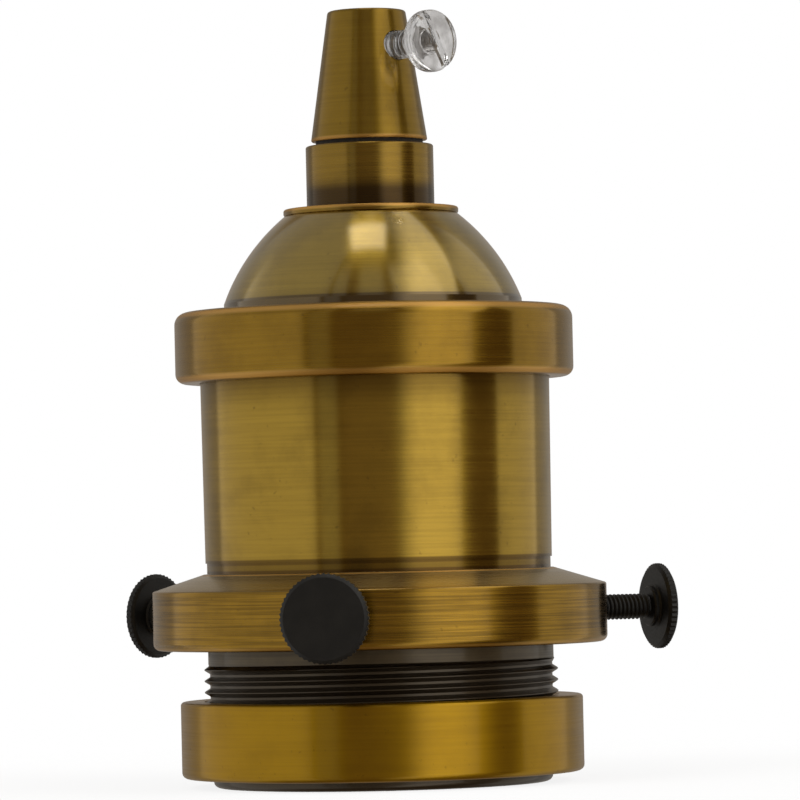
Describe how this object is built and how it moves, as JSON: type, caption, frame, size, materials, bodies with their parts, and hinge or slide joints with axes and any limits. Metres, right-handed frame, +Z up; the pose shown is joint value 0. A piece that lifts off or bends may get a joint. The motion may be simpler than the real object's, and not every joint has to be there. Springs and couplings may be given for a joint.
{
  "type": "lamp holder",
  "caption": "Antique brass holder for a screw-in lamp: domed cap, cord grip with a clear screw, shade ring on an outside thread, and a gallery with thumbscrews for a glass shade.",
  "frame": {"origin": "middle of the lamp mouth, level with the bottom rim that the holder stands on", "axes": "+Z up the holder's axis, from the lamp mouth to the cord grip; -Y towards the front thumbscrew's side"},
  "size_m": [0.0633, 0.0604, 0.0865],
  "materials": {
    "brass": "antique brass, brushed round and lacquered",
    "ring_brass": "antique brass, finely brushed",
    "dark_skirt": "moulded phenolic, dark brown",
    "black_steel": "blackened, satin",
    "dark_washer": "plain",
    "clear_plastic": "clear, glossy",
    "porcelain": "glazed ceramic",
    "contact_brass": "bright, plain",
    "zinc_steel": "zinc plated"
  },
  "bodies": {
    "holder": {"body_shell": "brass", "porcelain_insert": "porcelain", "screw_shell": "contact_brass", "shell_rivet_1": "contact_brass", "shell_rivet_2": "contact_brass", "shell_rivet_3": "contact_brass", "centre_terminal": "contact_brass", "shell_terminal": "contact_brass", "terminal_screw_live": "zinc_steel", "terminal_screw_neutral": "zinc_steel", "plunger_spring": "zinc_steel"},
    "cap": {"cap_ring": "brass", "dome_cap": "brass", "entry_collar": "brass", "lock_washer": "dark_washer", "cap_nipple": "zinc_steel", "nipple_locknut": "zinc_steel", "earth_tag": "zinc_steel", "earth_screw": "zinc_steel", "earth_nut": "zinc_steel"},
    "grip": {"cord_grip": "brass"},
    "clamp_screw": {"grip_screw": "clear_plastic"},
    "contact": {"centre_plunger": "contact_brass"},
    "skirt": {"threaded_skirt": "dark_skirt", "gallery_flange": "brass", "screw_bush_front": "black_steel", "screw_bush_right": "black_steel", "screw_bush_left": "black_steel"},
    "ring": {"shade_ring": "ring_brass"},
    "screw_front": {"thumbscrew_front": "black_steel"},
    "screw_right": {"thumbscrew_right": "black_steel"},
    "screw_left": {"thumbscrew_left": "black_steel"}
  },
  "joints": [
    {"name": "cap_unscrew", "type": "slide", "parent": "holder", "child": "cap", "axis": [0, 0, 1], "range_m": [0, 0.012]},
    {"name": "cord_grip_unscrew", "type": "slide", "parent": "cap", "child": "grip", "axis": [0, 0, 1], "range_m": [0, 0.007]},
    {"name": "grip_screw_turn", "type": "slide", "parent": "grip", "child": "clamp_screw", "axis": [0.6691, -0.7431, 0], "range_m": [-0.0036, 0.002]},
    {"name": "contact_press", "type": "slide", "parent": "holder", "child": "contact", "axis": [0, 0, 1], "range_m": [0, 0.0012], "stiffness_N_per_m": 1500, "springref_m": -0.0006, "deforming": ["plunger_spring"]},
    {"name": "body_unscrew", "type": "slide", "parent": "skirt", "child": "holder", "axis": [0, 0, 1], "range_m": [0, 0.024]},
    {"name": "shade_ring_turn", "type": "slide", "parent": "skirt", "child": "ring", "axis": [0, 0, 1], "range_m": [-0.01, 0.00375]},
    {"name": "thumbscrew_front_turn", "type": "slide", "parent": "skirt", "child": "screw_front", "axis": [-0.1736, -0.9848, 0], "range_m": [-0.0036, 0.002]},
    {"name": "thumbscrew_right_turn", "type": "slide", "parent": "skirt", "child": "screw_right", "axis": [0.9397, 0.342, 0], "range_m": [-0.0036, 0.002]},
    {"name": "thumbscrew_left_turn", "type": "slide", "parent": "skirt", "child": "screw_left", "axis": [-0.766, 0.6428, 0], "range_m": [-0.0036, 0.002]}
  ]
}
